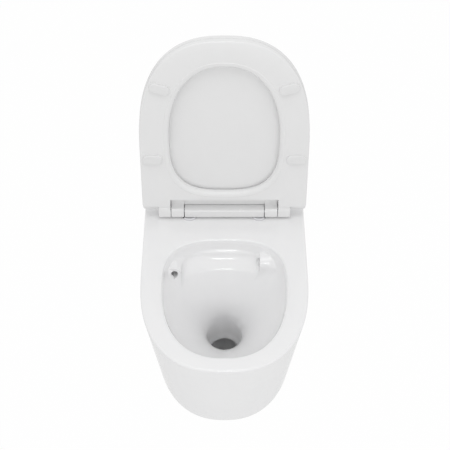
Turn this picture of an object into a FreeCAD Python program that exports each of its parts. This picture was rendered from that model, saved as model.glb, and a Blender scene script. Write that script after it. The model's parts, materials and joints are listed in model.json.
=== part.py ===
"""Wall hung toilet: rimless china pan, soft-close seat and lid on a lift-off hinge bar.

Frame: millimetres, +Z up, the front faces -Y. The origin is the middle of the two wall bolts, on the
wall plane. The seat and the lid are built closed about the hinge axis and stand raised at rest.
Distances called "reach" run forward from the hinge axis, and "depth" runs down from the deck.
"""
import FreeCAD, Part

import math
import os

import Sketcher
from FreeCAD import Placement, Rotation, Vector

SIZES = (
    # pan, outside
    ("HingeFromWall", 78, "wall to hinge axis"),
    ("DeckAboveBolts", 85, "wall bolts to deck"),
    ("PanHeight", 340, "deck to underside"),
    ("PanHalfWidth", 177.5, "half width of the deck"),
    ("PanReach", 437, "hinge axis to front of the deck"),
    ("PanShoulder", 177, "reach at which the deck starts to round"),
    ("PanPower", 2.5, "squareness of the deck's front"),
    ("BaseHalfWidth", 158, "half width of the underside"),
    ("BaseReach", 310, "hinge axis to front of the underside"),
    ("BaseShoulder", 57, "reach at which the underside starts to round"),
    ("BasePower", 2.3, "squareness of the underside's front"),
    ("DeckEdge", 4, "radius of the deck's outer edge"),
    ("BaseEdge", 3, "radius of the lower edge"),
    ("SkinWall", 10, "china wall of the skirt and underside"),
    ("DeckWall", 12, "china thickness of the deck"),
    ("BackWall", 14, "china thickness of the fixing wall"),
    ("BackDepth", 56, "wall to the front of the casting's back blocks"),
    ("BackHalfWidth", 56, "half width of the middle back block"),
    ("BackSkirt", 5, "open back's top to the underside of that block"),
    ("BackOpenTop", 40, "wall bolts down to the top of the open back"),
    ("BackOpenHalfWidth", 135, "half width of the open back"),
    # bowl
    ("RimHalfWidth", 132, "half width of the bowl's mouth"),
    ("RimFront", 400.5, "reach of the mouth's front"),
    ("RimRear", 75, "reach of the mouth's rear"),
    ("RimWidest", 197, "reach of the mouth's widest place"),
    ("RimFrontPower", 2.4, "squareness of the mouth's front"),
    ("RimRearPower", 2.8, "squareness of the mouth's rear"),
    ("RimEdge", 4, "radius of the mouth's edge"),
    ("BowlSideFall", 1.6, "how late the bowl's sides draw in with depth"),
    ("BowlFrontFall", 2, "how late the bowl's front draws in with depth"),
    ("BowlRearFall", 1.8, "how late the bowl's rear draws in with depth"),
    ("ThroatDepth", 190, "deck to the top of the throat at its sides"),
    ("ThroatFrontDepth", 206, "deck to the top of the throat at its front"),
    ("ThroatRearDepth", 174, "deck to the top of the throat at its rear"),
    ("BowlDepth", 240, "deck to the foot of the throat"),
    ("BowlWall", 10, "china thickness of the bowl"),
    ("ThroatReach", 187, "hinge axis to the throat's middle"),
    ("ThroatMouth", 40, "radius at the top of the throat"),
    ("ThroatRadius", 37, "radius at the foot of the throat"),
    # trap and outlet
    ("TrapRadius", 35, "radius of the waterway"),
    ("TrapWall", 8, "china thickness of the trap"),
    ("TrapBend", 45, "centreline radius of the trap's bends"),
    ("TrapClimb", 55, "climb from the dip to the weir, degrees"),
    ("TrapCrestDepth", 156, "depth of the weir's bend"),
    ("TrapFall", 25, "fall from the weir to the outlet, degrees"),
    ("OutletDrop", 100, "wall bolts to outlet centre"),
    ("OutletDiameter", 102, "outside of the outlet spigot"),
    ("OutletSetback", 8, "wall to the end of the spigot"),
    ("OutletLength", 40, "length of the spigot"),
    # inlet and flush duct
    ("InletRise", 35, "wall bolts up to inlet centre"),
    ("InletBore", 55, "bore of the inlet socket"),
    ("InletBoss", 78, "outside of the inlet socket"),
    ("InletDepth", 138, "wall to the end of the inlet chamber"),
    ("DuctBore", 20, "bore of the flush duct and its ports"),
    ("DuctWall", 7, "china thickness of the duct"),
    ("DuctDepth", 38, "deck to duct centre"),
    ("DuctReach", 42, "hinge axis to the cross duct"),
    ("LeftPortSide", 111, "left port from the middle"),
    ("LeftPortReach", 140, "reach of the left port's face"),
    ("RightPortSide", 78, "face of the right port from the middle"),
    ("RightPortReach", 106, "reach of the right port's centre"),
    # wall fixings
    ("BoltSpacing", 180, "between the wall bolts"),
    ("BoltClearance", 13, "hole for an M12 stud"),
    ("BossDiameter", 46, "outside of the fixing bosses"),
    ("BossLength", 52, "wall to the end of a fixing boss"),
    ("SleeveDiameter", 20, "outside of the fixing sleeve"),
    ("SleeveLength", 37, "length of the fixing sleeve"),
    ("SleeveGroove", 1.5, "depth of the sleeve's clamping groove"),
    ("BushLength", 12, "depth of the fixing bush in its boss"),
    ("BushFlange", 30, "flange of the fixing bush"),
    ("BushFlangeThickness", 2, "thickness of that flange"),
    ("ClampDiameter", 8, "clamp screw across a boss"),
    ("ClampLength", 20, "length of the clamp screw"),
    ("ClampFromWall", 20, "wall to the clamp screw"),
    ("CapDiameter", 24, "side cap"),
    ("CapHead", 28, "head of the side cap"),
    ("CapHeadThickness", 2.5, "thickness of that head"),
    ("CapChamfer", 1, "chamfer of that head"),
    ("CapDepth", 8, "depth of the side cap in the skirt"),
    ("CapRoom", 0.6, "room round the side cap"),
    ("CapHoleStart", 4, "fixing boss to the inner end of the cap's hole"),
    ("SealBore", 45, "flush pipe in the inlet seal"),
    ("SealLength", 30, "length of the inlet seal"),
    ("FitClearance", 0.2, "radial clearance of loose fits"),
    ("RunningClearance", 0.05, "radial clearance of turning fits"),
    ("BodyGap", 0.35, "gap between pieces that move apart"),
    # hinge
    ("AxisAboveDeck", 16, "deck to hinge axis"),
    ("OpenAngle", 96, "seat and lid from closed to raised"),
    ("PostSpacing", 155, "between the hinge posts"),
    ("PostDiameter", 14, "head of a hinge post"),
    ("PostNeck", 10, "groove of a hinge post"),
    ("PostHeight", 10.1, "deck to the top of a post"),
    ("PostChamfer", 0.4, "chamfer of a post's head"),
    ("LatchLow", 7.3, "deck to the lower face of the latch"),
    ("LatchThickness", 1.6, "thickness of the latch"),
    ("StudDiameter", 8, "screw below a hinge post"),
    ("StudLength", 44, "length of that screw"),
    ("DeckHole", 16, "hole in the deck for a hinge plug"),
    ("PlugLength", 30, "length of the expansion plug"),
    ("ConeHeight", 12, "height of the expansion cone"),
    ("ConeTaper", 1.5, "taper of the cone's upper end"),
    ("DiscDiameter", 33, "hinge base disc"),
    ("DiscHeight", 5.4, "height of the base disc"),
    ("DiscChamfer", 1, "chamfer of the base disc"),
    ("DiscShelf", 1.6, "height of the disc under a lid lug"),
    ("BarHalfLength", 87.5, "half length of the hinge bar"),
    ("BarDepth", 23, "front to back of bar and lugs"),
    ("BarHeight", 20.5, "height of bar and lugs"),
    ("BarEdge", 3.5, "edge radius of bar and lugs"),
    ("LugGap", 2, "side gap between hinge segments"),
    ("LugEnd", 4, "closed end of a seat lug"),
    ("LidLugWidth", 27.5, "width of a lid lug"),
    ("SeatLugWidth", 26, "width of a seat lug"),
    ("PinDiameter", 8, "hinge pin"),
    ("PinInner", 46, "inner end of a hinge pin from the middle"),
    ("BushDiameter", 12, "outside of the lid bush"),
    ("DriveDiameter", 10, "outside of the lid drive sleeve"),
    ("DamperDiameter", 15, "soft-close damper"),
    ("DamperInner", 6, "inner end of a damper from the middle"),
    ("DamperOuter", 62, "outer end of a damper from the middle"),
    ("CoverThickness", 2, "cover under the dampers"),
    ("CoverHalfLength", 65, "half length of that cover"),
    ("CoverHalfWidth", 9, "half width of that cover"),
    ("CoverScrewDiameter", 3, "screw of that cover"),
    ("CoverScrewLength", 8, "length of that screw"),
    ("ButtonWidth", 17.6, "release button"),
    ("ButtonHeight", 8, "height of the button"),
    ("LatchBridge", 1.2, "width of the latch in front of the post"),
    ("ButtonProud", 1.2, "button proud of the bar's rear face"),
    ("ButtonTravel", 1.8, "press of the button"),
    # seat
    ("SeatGap", 5.7, "deck to the closed seat's underside"),
    ("SeatThickness", 17, "thickness of the seat"),
    ("SeatHalfWidth", 180, "half width of the seat"),
    ("SeatReach", 435, "hinge axis to front of the seat"),
    ("SeatRear", 17, "hinge axis to rear of the seat"),
    ("SeatShoulder", 176, "reach at which the seat starts to round"),
    ("SeatPower", 2.5, "squareness of the seat's front"),
    ("SeatCorner", 7, "rear corner radius of seat and lid"),
    ("SeatOuterEdge", 6, "outer edge radius of the seat"),
    ("SeatInnerEdge", 7, "edge radius of the seat's opening"),
    ("OpeningHalfWidth", 117, "half width of the seat's opening"),
    ("OpeningFront", 374, "reach of the opening's front"),
    ("OpeningRear", 58, "reach of the opening's rear"),
    ("OpeningWidest", 196, "reach of the opening's widest place"),
    ("OpeningFrontPower", 2.25, "squareness of the opening's front"),
    ("OpeningRearPower", 3, "squareness of the opening's rear"),
    ("NotchReach", 38.5, "reach of the notch for the lid lugs"),
    ("BufferLength", 43, "seat buffer across the seat"),
    ("BufferWidth", 22, "seat buffer along the seat"),
    ("BufferInset", 26.5, "side of the seat to the middle of a rear buffer"),
    ("BufferReach", 148, "reach of the rear buffers"),
    ("FrontBufferInset", 47, "side of the seat to the middle of a front buffer"),
    ("FrontBufferReach", 325, "reach of the front buffers"),
    ("FrontBufferTurn", 18, "turn of the front buffers, degrees"),
    # lid
    ("LidGap", 1.5, "seat's top to the closed lid"),
    ("LidThickness", 13, "thickness of the lid"),
    ("LidOverhang", 0.5, "side of the lid beyond the seat"),
    ("LidSetback", 2, "front of the seat to front of the lid"),
    ("LidRear", -3, "hinge axis to rear of the lid"),
    ("LidEdge", 5.5, "edge radius of the lid"),
    ("LidLugFillet", 14, "fillet from a lid lug to the lid"),
    ("LidBufferDiameter", 12, "lid buffer"),
    ("LidBufferInset", 30, "side of the seat to the middle of a lid buffer"),
    ("LidBufferReach", 230, "reach of the lid buffers"),
)

SIDES = (("left", -1), ("right", 1))
CURVE_POINTS = 48    # points on a closed oval, and the spans of a rounded front
BOWL_SHARES = (0.06, 0.15, 0.26, 0.38, 0.5, 0.6, 0.68, 0.75, 0.81, 0.87, 0.93, 1)    # of its depth

doc = FreeCAD.newDocument("WallHungToilet")
sheet = doc.addObject("Spreadsheet::Sheet", "Sizes")
for row, (alias, value, note) in enumerate(SIZES, 1):
    sheet.set(f"A{row}", note)
    sheet.set(f"B{row}", str(value))
    sheet.setAlias(f"B{row}", alias)
doc.recompute()


def size(alias):
    """A driving dimension, read from the sheet."""
    return float(sheet.get(alias))


# ---------------------------------------------------------------- places

def place(x="0", y="0", z="0", turn="0", axis="1; 0; 0"):
    """A placement expression: a move, after a turn about an axis."""
    return f"placement(vector({x}; {y}; {z}); rotation(vector({axis}); {turn}))"


AXIS_Z = "Sizes.DeckAboveBolts + Sizes.AxisAboveDeck"
AT_HINGE = place(y="-Sizes.HingeFromWall", z=AXIS_Z)
RAISED = place(y="-Sizes.HingeFromWall", z=AXIS_Z, turn="-Sizes.OpenAngle")


def at_post(side, height="Sizes.DeckAboveBolts"):
    """The middle of a hinge post at a height, by default at deck level."""
    return place(f"{side} * Sizes.PostSpacing / 2", "-Sizes.HingeFromWall", height)


def at_bolt(side, y="0"):
    """The middle of a wall bolt, y from the wall."""
    return place(f"{side} * Sizes.BoltSpacing / 2", y)


hinge_frame = Placement(Vector(0, -size("HingeFromWall"), size("DeckAboveBolts") + size("AxisAboveDeck")),
                        Rotation())
raised_frame = hinge_frame * Placement(Vector(), Rotation(Vector(1, 0, 0), -size("OpenAngle")))
deck_frame = Placement(Vector(0, -size("HingeFromWall"), size("DeckAboveBolts")), Rotation())


# ---------------------------------------------------------------- features made from sketches

def sketch(body, role, points, offset="0", name="Profile"):
    """A closed polygon along an origin plane. Every corner's two coordinates are expressions."""
    drawing = body.newObject("Sketcher::SketchObject", name)
    plane = [item for item in body.Origin.OriginFeatures if item.Role == role][0]
    drawing.AttachmentSupport = [(plane, "")]
    drawing.MapMode = "FlatFace"
    drawing.setExpression("AttachmentOffset.Base.z", offset)
    count = len(points)
    for index in range(count):
        here = Vector(index, index * index % 7, 0)
        after = (index + 1) % count
        drawing.addGeometry(Part.LineSegment(here, Vector(after, after * after % 7, 0)), False)
    for index in range(count):
        drawing.addConstraint(Sketcher.Constraint("Coincident", index, 2, (index + 1) % count, 1))
    for index, corner in enumerate(points):
        for kind, expression in zip(("DistanceX", "DistanceY"), corner):
            number = drawing.addConstraint(Sketcher.Constraint(kind, -1, 1, index, 1, 1.0))
            drawing.setExpression(f"Constraints[{number}]", expression)
    doc.recompute()
    return drawing


def circle_sketch(body, role, diameter, x="0", y="0", offset="0", name="Circle"):
    """A circle on an origin plane, moved along the plane's normal by offset."""
    drawing = body.newObject("Sketcher::SketchObject", name)
    plane = [item for item in body.Origin.OriginFeatures if item.Role == role][0]
    drawing.AttachmentSupport = [(plane, "")]
    drawing.MapMode = "FlatFace"
    drawing.setExpression("AttachmentOffset.Base.z", offset)
    drawing.addGeometry(Part.Circle(Vector(1, 1, 0), Vector(0, 0, 1), 1), False)
    for kind, expression in (("DistanceX", x), ("DistanceY", y)):
        number = drawing.addConstraint(Sketcher.Constraint(kind, -1, 1, 0, 3, 1.0))
        drawing.setExpression(f"Constraints[{number}]", expression)
    number = drawing.addConstraint(Sketcher.Constraint("Diameter", 0, 2.0))
    drawing.setExpression(f"Constraints[{number}]", diameter)
    doc.recompute()
    return drawing


def new_body(label, placement):
    """An empty body with its label and its place."""
    body = doc.addObject("PartDesign::Body", label)
    body.Label = label
    body.setExpression("Placement", placement)
    return body


def turned(label, points, placement, role="XZ_Plane", axis="V_Axis"):
    """A turned piece: points are (radius, height) for V_Axis and (length, radius) for H_Axis."""
    body = new_body(label, placement)
    profile = sketch(body, role, points)
    revolution = body.newObject("PartDesign::Revolution", "Turning")
    revolution.Profile = profile
    revolution.ReferenceAxis = (profile, [axis])
    revolution.Angle = 360
    doc.recompute()
    return body


def padded(label, points, length, placement, role="YZ_Plane"):
    """A prism, as long on both sides of its sketch plane."""
    body = new_body(label, placement)
    profile = sketch(body, role, points)
    pad = body.newObject("PartDesign::Pad", "Pad")
    pad.Profile = profile
    pad.setExpression("Length", length)
    pad.Midplane = True
    doc.recompute()
    return body


def cut(body, drawing, length):
    """A pocket against the sketch plane's normal, and a check that it took something away."""
    before = body.Shape.Volume
    pocket = body.newObject("PartDesign::Pocket", "Pocket")
    pocket.Profile = drawing
    pocket.setExpression("Length", length)
    doc.recompute()
    if body.Shape.Volume > before - 1e-6:
        raise RuntimeError(f"a pocket of {body.Label} cuts nothing")


def cut_round(body, role, diameter, length, x="0", y="0", offset="0"):
    """A round pocket from a plane at offset, against that plane's normal."""
    cut(body, circle_sketch(body, role, diameter, x, y, offset), length)


def box_points(x_low, x_high, y_low, y_high):
    """The four corners of a rectangle, as expressions."""
    return [(x_low, y_low), (x_high, y_low), (x_high, y_high), (x_low, y_high)]


def cut_box(body, points, length, offset="0"):
    """A pocket with straight sides, from the level offset downwards."""
    cut(body, sketch(body, "XY_Plane", points, offset), length)


def shaped(label, shape, placement):
    """A piece whose shape is worked out by the functions below, placed after its shape is set."""
    piece = doc.addObject("Part::Feature", label)
    piece.Label = label
    piece.Shape = shape
    piece.Placement = placement
    return piece


# ---------------------------------------------------------------- curves and solids

def super_point(angle, half_width, reach, power):
    """A point of |x / half_width|^power + |y / reach|^power = 1, y forward, angle from the left."""
    across = -math.copysign(abs(math.cos(angle)) ** (2 / power), math.cos(angle))
    along = math.copysign(abs(math.sin(angle)) ** (2 / power), math.sin(angle))
    return half_width * across, reach * along


def front_outline(half_width, shoulder, reach, rear, power, height, corner=0.0):
    """Straight sides, a rounded front and a straight rear with corner radii, at one height."""
    points = []
    for step in range(CURVE_POINTS + 1):
        x, forward = super_point(math.pi * step / CURVE_POINTS, half_width, reach - shoulder, power)
        points.append(Vector(x, -(shoulder + forward), height))
    bow = Part.BSplineCurve()
    bow.interpolate(Points=points, Parameters=[step / CURVE_POINTS for step in range(CURVE_POINTS + 1)])
    left, right = points[0], points[-1]
    rear_right = Vector(half_width, -rear, height)
    rear_left = Vector(-half_width, -rear, height)
    if corner == 0.0:
        edges = [bow, Part.LineSegment(right, rear_right), Part.LineSegment(rear_right, rear_left),
                 Part.LineSegment(rear_left, left)]
        return Part.Wire([edge.toShape() for edge in edges])
    slant = corner * (1 - math.sqrt(0.5))
    stops = [rear_right + Vector(0, -corner, 0), rear_right + Vector(-slant, -slant, 0),
             rear_right + Vector(-corner, 0, 0), rear_left + Vector(corner, 0, 0),
             rear_left + Vector(slant, -slant, 0), rear_left + Vector(0, -corner, 0)]
    edges = [bow, Part.LineSegment(right, stops[0]), Part.Arc(*stops[0:3]),
             Part.LineSegment(stops[2], stops[3]), Part.Arc(*stops[3:6]), Part.LineSegment(stops[5], left)]
    return Part.Wire([edge.toShape() for edge in edges])


def oval(half_width, widest, front, rear, front_power, rear_power, height):
    """A closed smooth oval, widest at one reach, squarer where its power is larger."""
    points = []
    for step in range(CURVE_POINTS):
        angle = 2 * math.pi * step / CURVE_POINTS
        ahead = math.sin(angle) >= 0
        x, forward = super_point(angle, half_width, front - widest if ahead else widest - rear,
                                 front_power if ahead else rear_power)
        points.append(Vector(x, -(widest + forward), height))
    curve = Part.BSplineCurve()
    curve.interpolate(Points=points, PeriodicFlag=True)
    return Part.Wire([curve.toShape()])


def prism(wire, height):
    """The solid above a flat closed wire."""
    return Part.Face(wire).extrude(Vector(0, 0, height))


def edges_at(shape, height):
    """The edges of a shape that lie flat at one height."""
    box_of = [(edge, edge.BoundBox) for edge in shape.Edges]
    return [edge for edge, box in box_of if abs(box.ZMin - height) < 1e-4 and abs(box.ZMax - height) < 1e-4]


def rim_edges(shape, height, rear):
    """The flat edges at one height that start in front of a rear line."""
    return [edge for edge in edges_at(shape, height) if edge.BoundBox.YMin < rear - 1]


def box(x_low, x_high, y_low, y_high, z_low, z_high):
    """A box between its lowest and highest corners."""
    return Part.makeBox(x_high - x_low, y_high - y_low, z_high - z_low, Vector(x_low, y_low, z_low))


def rod(radius, start, end):
    """A round bar from start to end."""
    run = end - start
    return Part.makeCylinder(radius, run.Length, start, run)


def rounded_path(corners, radius):
    """Straight runs joined by arcs of one radius, through corners in the X = 0 plane."""
    edges = []
    start = corners[0]
    for before, corner, after in zip(corners, corners[1:], corners[2:]):
        into, away = (corner - before).normalize(), (after - corner).normalize()
        turn = into.getAngle(away)
        cut = radius * math.tan(turn / 2)
        first, last = corner - into * cut, corner + away * cut
        bisector = (away - into).normalize()
        middle = corner + bisector * (radius / math.cos(turn / 2) - radius)
        edges += [Part.LineSegment(start, first).toShape(), Part.Arc(first, middle, last).toShape()]
        start = last
    edges.append(Part.LineSegment(start, corners[-1]).toShape())
    return Part.Wire(edges)


def pipe(path, radius):
    """A round solid along a path."""
    start = path.OrderedVertexes[0].Point
    tangent = path.OrderedEdges[0].tangentAt(path.OrderedEdges[0].FirstParameter)
    ring = Part.Wire([Part.Circle(start, tangent, radius).toShape()])
    return path.makePipeShell([ring], True, False)


# ---------------------------------------------------------------- pan

def bowl_wire(depth, swell, height):
    """The bowl's outline at a depth below the deck, drawn at a height; swell moves it outwards."""
    side_share = min(1, depth / size("ThroatDepth"))
    front_share = min(1, depth / size("ThroatFrontDepth"))
    rear_share = min(1, depth / size("ThroatRearDepth"))
    throat_share = max(0, depth - size("ThroatRearDepth")) / (size("BowlDepth") - size("ThroatRearDepth"))
    throat = size("ThroatMouth") + (size("ThroatRadius") - size("ThroatMouth")) * min(1, throat_share)
    widest, reach = size("RimWidest"), size("ThroatReach")
    side_fall = (1 - side_share ** size("BowlSideFall")) ** size("BowlSideFall")
    front_fall = (1 - front_share ** 2) ** size("BowlFrontFall")
    rear_fall = (1 - rear_share ** 2) ** size("BowlRearFall")
    half_width = throat + (size("RimHalfWidth") - throat) * side_fall
    front = reach + throat + (size("RimFront") - reach - throat) * front_fall
    rear = reach - throat + (size("RimRear") - reach + throat) * rear_fall
    middle = reach + (widest - reach) * side_fall
    front_power = 2 + (size("RimFrontPower") - 2) * (1 - front_share)
    rear_power = 2 + (size("RimRearPower") - 2) * (1 - rear_share)
    return oval(half_width + swell, middle, front + swell, rear - swell, front_power, rear_power, height)


def bowl_solid(swell, top):
    """The bowl and its throat as a solid from top downwards, moved outwards by swell."""
    wires = [bowl_wire(0, swell, top)]
    for share in BOWL_SHARES:
        depth = size("BowlDepth") * share
        wires.append(bowl_wire(depth, swell, -depth - (swell if share == 1 else 0)))
    return Part.makeLoft(wires, True, False)


def duct_runs(radius, left_end, right_end):
    """The flush duct: across behind the bowl, forward on the left, round and back on the right."""
    depth, reach = -size("DuctDepth"), -size("DuctReach")
    left, right = -size("LeftPortSide"), size("LeftPortSide")
    port = -size("RightPortReach")
    corners = [Vector(left, reach, depth), Vector(right, reach, depth), Vector(right, port, depth)]
    shape = rod(radius, corners[0], corners[1])
    shape = shape.fuse(rod(radius, corners[0], Vector(left, -left_end, depth)))
    shape = shape.fuse(rod(radius, corners[1], corners[2]))
    shape = shape.fuse(rod(radius, corners[2], Vector(right_end, port, depth)))
    for corner in corners:
        shape = shape.fuse(Part.makeSphere(radius, corner))
    return shape


def trap_path():
    """The waterway's centreline from the throat, under the dip, over the weir and out of the back."""
    climb, fall = math.radians(size("TrapClimb")), math.radians(size("TrapFall"))
    outlet = -size("DeckAboveBolts") - size("OutletDrop")
    start = Vector(0, -size("ThroatReach"), -size("BowlDepth") + size("ThroatRadius") - size("TrapRadius"))
    dip = Vector(0, start.y, -size("BowlDepth") - size("TrapBend") * math.tan(math.pi / 4 + climb / 2))
    crest = Vector(0, dip.y + (-size("TrapCrestDepth") - dip.z) / math.tan(climb), -size("TrapCrestDepth"))
    drop = Vector(0, crest.y + (crest.z - outlet) / math.tan(fall), outlet)
    end = Vector(0, size("HingeFromWall") - size("OutletSetback"), outlet)
    return rounded_path([start, dip, crest, drop, end], size("TrapBend"))


def pan_shape():
    """The china casting, in the frame of the deck below the hinge axis."""
    wall_y = size("HingeFromWall")
    height, skin = size("PanHeight"), size("SkinWall")
    bolts = -size("DeckAboveBolts")
    outlet = bolts - size("OutletDrop")
    inlet = bolts + size("InletRise")

    behind = -2 * wall_y
    outer = Part.makeLoft([
        front_outline(size("BaseHalfWidth"), size("BaseShoulder"), size("BaseReach"), behind,
                      size("BasePower"), -height),
        front_outline(size("PanHalfWidth"), size("PanShoulder"), size("PanReach"), behind,
                      size("PanPower"), 0)], True, True)
    outer = outer.makeFillet(size("DeckEdge"), rim_edges(outer, 0, wall_y))
    outer = outer.makeFillet(size("BaseEdge"), rim_edges(outer, -height, wall_y))
    outer = outer.common(box(-height, height, -2 * size("PanReach"), wall_y, -height, 0))

    hollow = Part.makeLoft([
        front_outline(size("BaseHalfWidth") - skin, size("BaseShoulder"), size("BaseReach") - skin,
                      size("BackWall") - wall_y, size("BasePower"), -height + skin),
        front_outline(size("PanHalfWidth") - skin, size("PanShoulder"), size("PanReach") - skin,
                      size("BackWall") - wall_y, size("PanPower"), -size("DeckWall"))], True, True)

    half_back = size("BackOpenHalfWidth")
    back_opening = box(-half_back, half_back, wall_y - size("BackWall") - 1, wall_y + 1,
                       -height + skin, bolts - size("BackOpenTop"))
    path = trap_path()
    spigot_end = wall_y - size("OutletSetback")
    trap_outside = pipe(path, size("TrapRadius") + size("TrapWall"))
    spigot = rod(size("OutletDiameter") / 2, Vector(0, spigot_end - size("OutletLength"), outlet),
                 Vector(0, spigot_end, outlet))
    ducts = duct_runs(size("DuctBore") / 2 + size("DuctWall"), size("LeftPortReach"), size("RightPortSide"))
    inlet_boss = rod(size("InletBoss") / 2, Vector(0, wall_y - 1, inlet),
                     Vector(0, wall_y - size("InletDepth") - skin, inlet))
    bosses = []
    clamp_holes = []
    for side in (-1, 1):
        x = side * size("BoltSpacing") / 2
        bosses.append(rod(size("BossDiameter") / 2, Vector(x, wall_y - 1, bolts),
                          Vector(x, wall_y - size("BossLength"), bolts)))
        clamp_y = wall_y - size("ClampFromWall")
        clamp_holes.append(rod(size("ClampDiameter") / 2 + size("FitClearance"), Vector(x, clamp_y, bolts),
                               Vector(x + side * size("BossDiameter"), clamp_y, bolts)))
        hole_start = size("BossDiameter") / 2 + size("CapHoleStart")
        clamp_holes.append(rod(size("CapDiameter") / 2 + size("CapRoom"),
                               Vector(x + side * hole_start, clamp_y, bolts),
                               Vector(side * (size("PanHalfWidth") + size("CapHead")), clamp_y, bolts)))
    lower = hollow.fuse(back_opening)
    for solid in [bowl_solid(size("BowlWall"), -size("DeckWall") / 2), trap_outside, spigot, ducts,
                  inlet_boss] + bosses:
        lower = lower.cut(solid)
    shape = outer.cut(lower)

    bowl = bowl_solid(0.0, 2.0).cut(ducts)
    shape = shape.cut(bowl)
    mouth = [edge for edge in edges_at(shape, 0) if edge.BoundBox.XMax < size("RimHalfWidth") + 2]
    shape = shape.makeFillet(size("RimEdge"), mouth)
    voids = [pipe(path, size("TrapRadius")), rod(size("TrapRadius"), Vector(0, spigot_end - 1, outlet),
                                                 Vector(0, spigot_end + 20, outlet)),
             duct_runs(size("DuctBore") / 2, size("LeftPortReach") + 1, size("RightPortSide") - 1),
             rod(size("InletBore") / 2, Vector(0, wall_y + 1, inlet),
                 Vector(0, wall_y - size("InletDepth"), inlet))]
    for side in (-1, 1):
        x = side * size("BoltSpacing") / 2
        voids.append(rod(size("SleeveDiameter") / 2 + size("FitClearance"), Vector(x, wall_y + 1, bolts),
                         Vector(x, wall_y - size("BossLength") - 1, bolts)))
        voids.append(rod(size("DeckHole") / 2, Vector(side * size("PostSpacing") / 2, 0, 1),
                         Vector(side * size("PostSpacing") / 2, 0, -size("DeckWall") - 1)))
    for void in voids + clamp_holes:
        shape = shape.cut(void)
    return shape


def single(shape):
    """The one solid of a shape."""
    if len(shape.Solids) != 1:
        raise RuntimeError(f"{len(shape.Solids)} solids in place of one")
    return shape.Solids[0]


def casting_blocks():
    """The blocks that part the casting's back on flat faces: one round the inlet and one at either side."""
    wall_y, height, half = size("HingeFromWall"), size("PanHeight"), size("BackHalfWidth")
    start, reach = wall_y - size("BackDepth"), wall_y + size("BackDepth")
    low = -size("DeckAboveBolts") - size("BackOpenTop") - size("BackSkirt")
    return {"inlet": box(-half, half, start, reach, low, height),
            "left": box(-height, -half, start, reach, -2 * height, height),
            "right": box(half, height, start, reach, -2 * height, height)}


# ---------------------------------------------------------------- seat and lid

def lug_inner():
    """The inner side of a lid lug from the middle."""
    return size("BarHalfLength") + size("LugGap")


def seat_lug_inner():
    """The inner side of a seat lug from the middle."""
    return lug_inner() + size("LidLugWidth") + size("LugGap")


def seat_low():
    """The closed seat's underside, from the axis."""
    return size("SeatGap") - size("AxisAboveDeck")


def lid_low():
    """The closed lid's underside, from the axis."""
    return seat_low() + size("SeatThickness") + size("LidGap")


def along_x(shape):
    """The straight edges of a shape that run along X."""
    return [edge for edge in shape.Edges if edge.BoundBox.YLength < 1e-4 and edge.BoundBox.ZLength < 1e-4]


def hinge_block(inner, outer):
    """A piece of the hinge's common section between two places along the axis."""
    depth, height = size("BarDepth") / 2, size("BarHeight") / 2
    block = box(min(inner, outer), max(inner, outer), -depth, depth, -height, height)
    return block.makeFillet(size("BarEdge"), along_x(block))


def axis_rod(radius, inner, outer):
    """A round bar on the hinge axis."""
    return rod(radius, Vector(inner, 0, 0), Vector(outer, 0, 0))


def turning_radius():
    """The radius that the hinge section sweeps."""
    corner = math.hypot(size("BarDepth") / 2, size("BarHeight") / 2)
    return corner - size("BarEdge") * (math.sqrt(2) - 1)


def seat_shape():
    """The seat ring with its two lugs, closed, in the frame of the hinge axis."""
    low, thick = seat_low(), size("SeatThickness")
    ring = prism(front_outline(size("SeatHalfWidth"), size("SeatShoulder"), size("SeatReach"),
                               size("SeatRear"), size("SeatPower"), low, size("SeatCorner")), thick)
    ring = ring.makeFillet(size("SeatOuterEdge"), edges_at(ring, low + thick))
    ring = ring.makeFillet(size("SeatOuterEdge") / 2, edges_at(ring, low))
    opening = oval(size("OpeningHalfWidth"), size("OpeningWidest"), size("OpeningFront"), size("OpeningRear"),
                   size("OpeningFrontPower"), size("OpeningRearPower"), low - 1)
    ring = ring.cut(prism(opening, thick + 2))
    inner = [edge for edge in edges_at(ring, low) + edges_at(ring, low + thick)
             if edge.BoundBox.XMax < size("OpeningHalfWidth") + 1]
    ring = ring.makeFillet(size("SeatInnerEdge"), inner)
    notch = seat_lug_inner()
    ring = ring.cut(box(-notch, notch, -size("NotchReach"), 0, low - 1, low + thick + 1))
    for side in (-1, 1):
        start, end = side * notch, side * (notch + size("SeatLugWidth"))
        neck = box(min(start, end), max(start, end), -size("SeatRear") - size("SeatCorner"), 0,
                   low + 0.5, low + thick - 1)
        ring = ring.fuse(neck).fuse(hinge_block(start, end))
    for side in (-1, 1):
        end = side * (notch + size("SeatLugWidth") - size("LugEnd"))
        ring = ring.cut(axis_rod(size("PinDiameter") / 2, side * (notch - 1), end))
    return ring.Solids[0]


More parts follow.
